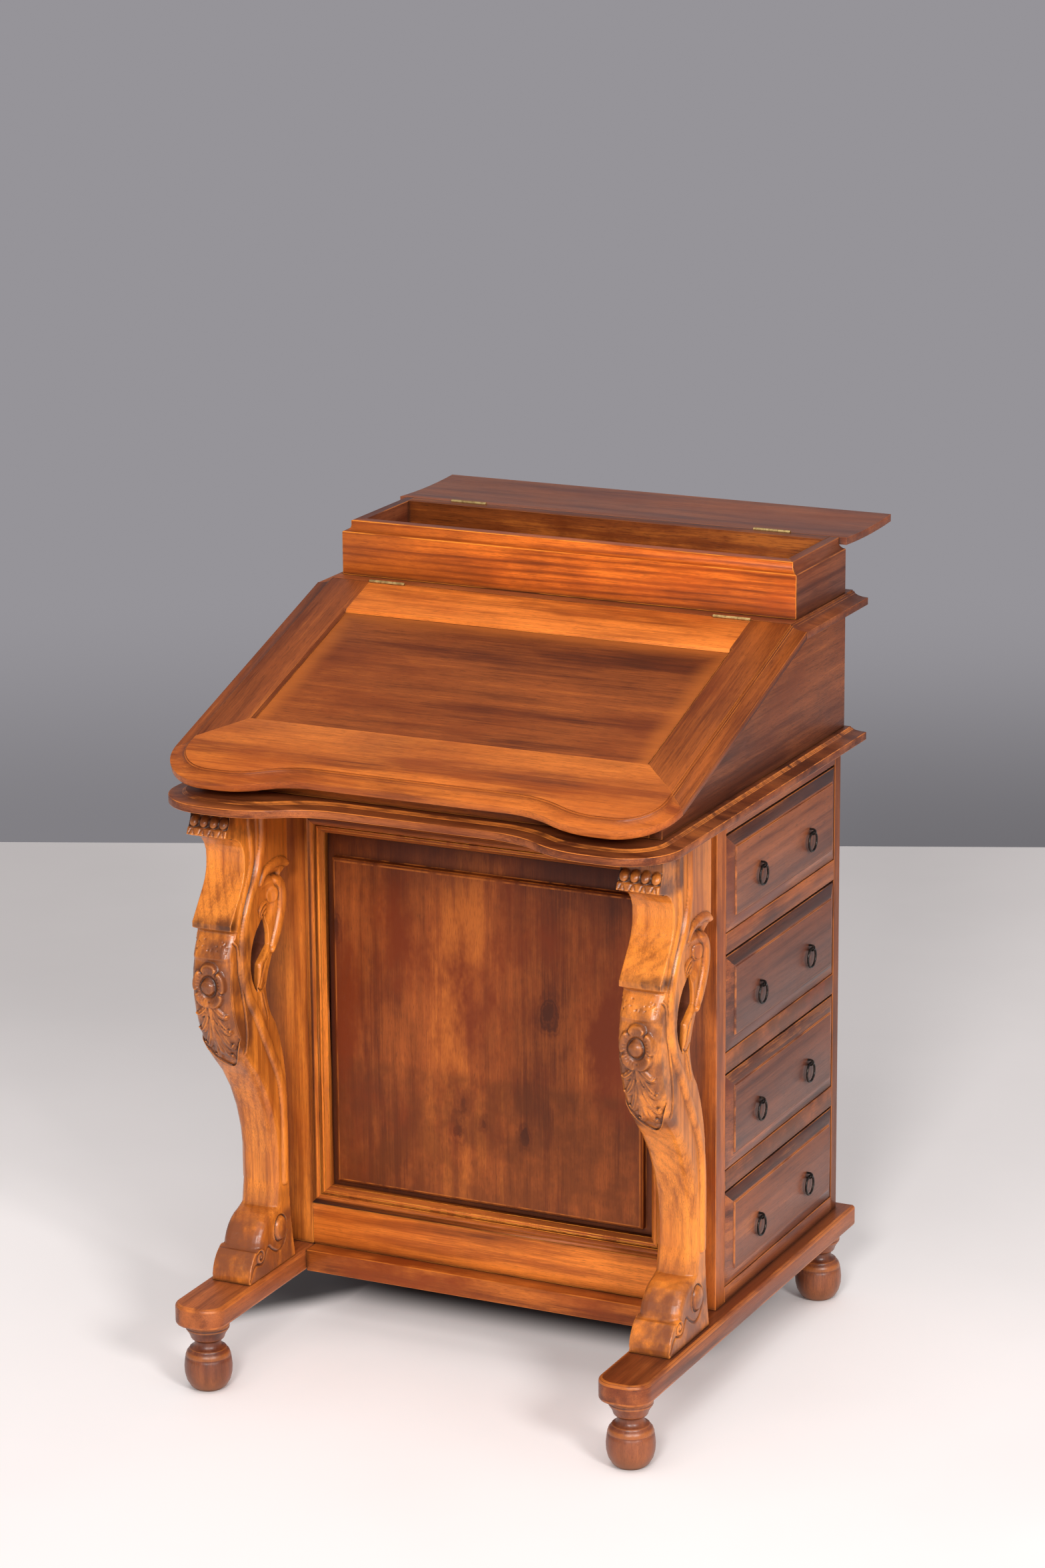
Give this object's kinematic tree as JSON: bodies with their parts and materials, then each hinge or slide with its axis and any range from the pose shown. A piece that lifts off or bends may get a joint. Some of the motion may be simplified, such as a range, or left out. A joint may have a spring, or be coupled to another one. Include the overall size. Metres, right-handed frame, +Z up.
{
  "type": "davenport writing desk",
  "caption": "Small upright writing desk: sloping hinged lid over a well, pen box with hinged lid, side drawers with ring pulls, carved bracket legs on runners with bun feet.",
  "frame": {"origin": "on the floor, under the middle of the whole desk's box with the pen lid laid open behind", "axes": "+Z up, +X towards the drawers' side, -Y towards the sitter, +Y towards the pen box and the back"},
  "size_m": [0.57, 0.6754, 0.8612],
  "materials": {
    "carved_wood": "oiled and waxed, dark in the cut lines",
    "base_wood": "waxed",
    "case_wood": "waxed",
    "moulding_wood": "waxed, dark in the quirks",
    "panel_wood": "satin, with knots",
    "drawer_wood": "satin",
    "board_wood": "satin, worn edges",
    "lid_wood": "satin",
    "lid_panel_wood": "satin",
    "pen_box_wood": "satin",
    "inside_wood": "bare",
    "hinge_brass": "worn bright",
    "ring_metal": "dark bronzed"
  },
  "bodies": {
    "desk": {"bun_feet": "carved_wood", "base_runner_left": "base_wood", "base_runner_right": "base_wood", "base_front_rail": "base_wood", "base_back_rail": "base_wood", "leg_left": "carved_wood", "leg_right": "carved_wood", "front_stile_left": "case_wood", "front_stile_right": "case_wood", "front_rails": "case_wood", "front_moulding": "moulding_wood", "front_panel": "panel_wood", "rear_stile_left": "case_wood", "rear_stile_right": "case_wood", "side_rails_left": "case_wood", "side_panel_left": "panel_wood", "back_panel": "inside_wood", "pedestal_bottom": "inside_wood", "drawer_rails": "drawer_wood", "drawer_runners": "inside_wood", "waist_board": "board_wood", "slope_side_left": "case_wood", "slope_side_right": "case_wood", "slope_box_front": "case_wood", "slope_box_back": "case_wood", "top_board": "board_wood", "desk_hinge_fixed_leaves": "hinge_brass", "pen_box_front": "pen_box_wood", "pen_box_back": "pen_box_wood", "pen_box_ends": "pen_box_wood", "pen_hinge_fixed_leaves": "hinge_brass"},
    "desk_lid": {"lid_stile_left": "lid_wood", "lid_stile_right": "lid_wood", "lid_top_rail": "lid_wood", "lid_front_rail": "lid_wood", "lid_panel": "lid_panel_wood", "desk_hinge_lid_leaves": "hinge_brass"},
    "pen_lid_leaf": {"pen_lid": "pen_box_wood", "pen_hinge_lid_leaves": "hinge_brass"},
    "drawer_1": {"drawer_1_front": "drawer_wood", "drawer_1_box": "inside_wood", "drawer_1_staples": "ring_metal"},
    "drawer_1_ring_front": {"drawer_1_ring_front": "ring_metal"},
    "drawer_1_ring_rear": {"drawer_1_ring_rear": "ring_metal"},
    "drawer_2": {"drawer_2_front": "drawer_wood", "drawer_2_box": "inside_wood", "drawer_2_staples": "ring_metal"},
    "drawer_2_ring_front": {"drawer_2_ring_front": "ring_metal"},
    "drawer_2_ring_rear": {"drawer_2_ring_rear": "ring_metal"},
    "drawer_3": {"drawer_3_front": "drawer_wood", "drawer_3_box": "inside_wood", "drawer_3_staples": "ring_metal"},
    "drawer_3_ring_front": {"drawer_3_ring_front": "ring_metal"},
    "drawer_3_ring_rear": {"drawer_3_ring_rear": "ring_metal"},
    "drawer_4": {"drawer_4_front": "drawer_wood", "drawer_4_box": "inside_wood", "drawer_4_staples": "ring_metal"},
    "drawer_4_ring_front": {"drawer_4_ring_front": "ring_metal"},
    "drawer_4_ring_rear": {"drawer_4_ring_rear": "ring_metal"}
  },
  "joints": [
    {"name": "desk_lid_hinge", "type": "hinge", "parent": "desk", "child": "desk_lid", "pos_m": [0, 0.05025, 0.8003], "axis": [-1, 0, 0], "range_deg": [0, 129]},
    {"name": "pen_lid_hinge", "type": "hinge", "parent": "desk", "child": "pen_lid_leaf", "pos_m": [0, 0.20775, 0.8592], "axis": [1, 0, 0], "range_deg": [0, 180]},
    {"name": "drawer_1_slide", "type": "slide", "parent": "desk", "child": "drawer_1", "axis": [1, 0, 0], "range_m": [0, 0.33]},
    {"name": "drawer_1_ring_front_swing", "type": "hinge", "parent": "drawer_1", "child": "drawer_1_ring_front", "pos_m": [0.2639, -0.0095, 0.5572], "axis": [0, -1, 0], "range_deg": [-3, 172]},
    {"name": "drawer_1_ring_rear_swing", "type": "hinge", "parent": "drawer_1", "child": "drawer_1_ring_rear", "pos_m": [0.2639, 0.1245, 0.5572], "axis": [0, -1, 0], "range_deg": [-3, 172]},
    {"name": "drawer_2_slide", "type": "slide", "parent": "desk", "child": "drawer_2", "axis": [1, 0, 0], "range_m": [0, 0.33]},
    {"name": "drawer_2_ring_front_swing", "type": "hinge", "parent": "drawer_2", "child": "drawer_2_ring_front", "pos_m": [0.2639, -0.0095, 0.4282], "axis": [0, -1, 0], "range_deg": [-3, 172]},
    {"name": "drawer_2_ring_rear_swing", "type": "hinge", "parent": "drawer_2", "child": "drawer_2_ring_rear", "pos_m": [0.2639, 0.1245, 0.4282], "axis": [0, -1, 0], "range_deg": [-3, 172]},
    {"name": "drawer_3_slide", "type": "slide", "parent": "desk", "child": "drawer_3", "axis": [1, 0, 0], "range_m": [0, 0.33]},
    {"name": "drawer_3_ring_front_swing", "type": "hinge", "parent": "drawer_3", "child": "drawer_3_ring_front", "pos_m": [0.2639, -0.0095, 0.2992], "axis": [0, -1, 0], "range_deg": [-3, 172]},
    {"name": "drawer_3_ring_rear_swing", "type": "hinge", "parent": "drawer_3", "child": "drawer_3_ring_rear", "pos_m": [0.2639, 0.1245, 0.2992], "axis": [0, -1, 0], "range_deg": [-3, 172]},
    {"name": "drawer_4_slide", "type": "slide", "parent": "desk", "child": "drawer_4", "axis": [1, 0, 0], "range_m": [0, 0.33]},
    {"name": "drawer_4_ring_front_swing", "type": "hinge", "parent": "drawer_4", "child": "drawer_4_ring_front", "pos_m": [0.2639, -0.0095, 0.1702], "axis": [0, -1, 0], "range_deg": [-3, 172]},
    {"name": "drawer_4_ring_rear_swing", "type": "hinge", "parent": "drawer_4", "child": "drawer_4_ring_rear", "pos_m": [0.2639, 0.1245, 0.1702], "axis": [0, -1, 0], "range_deg": [-3, 172]}
  ]
}
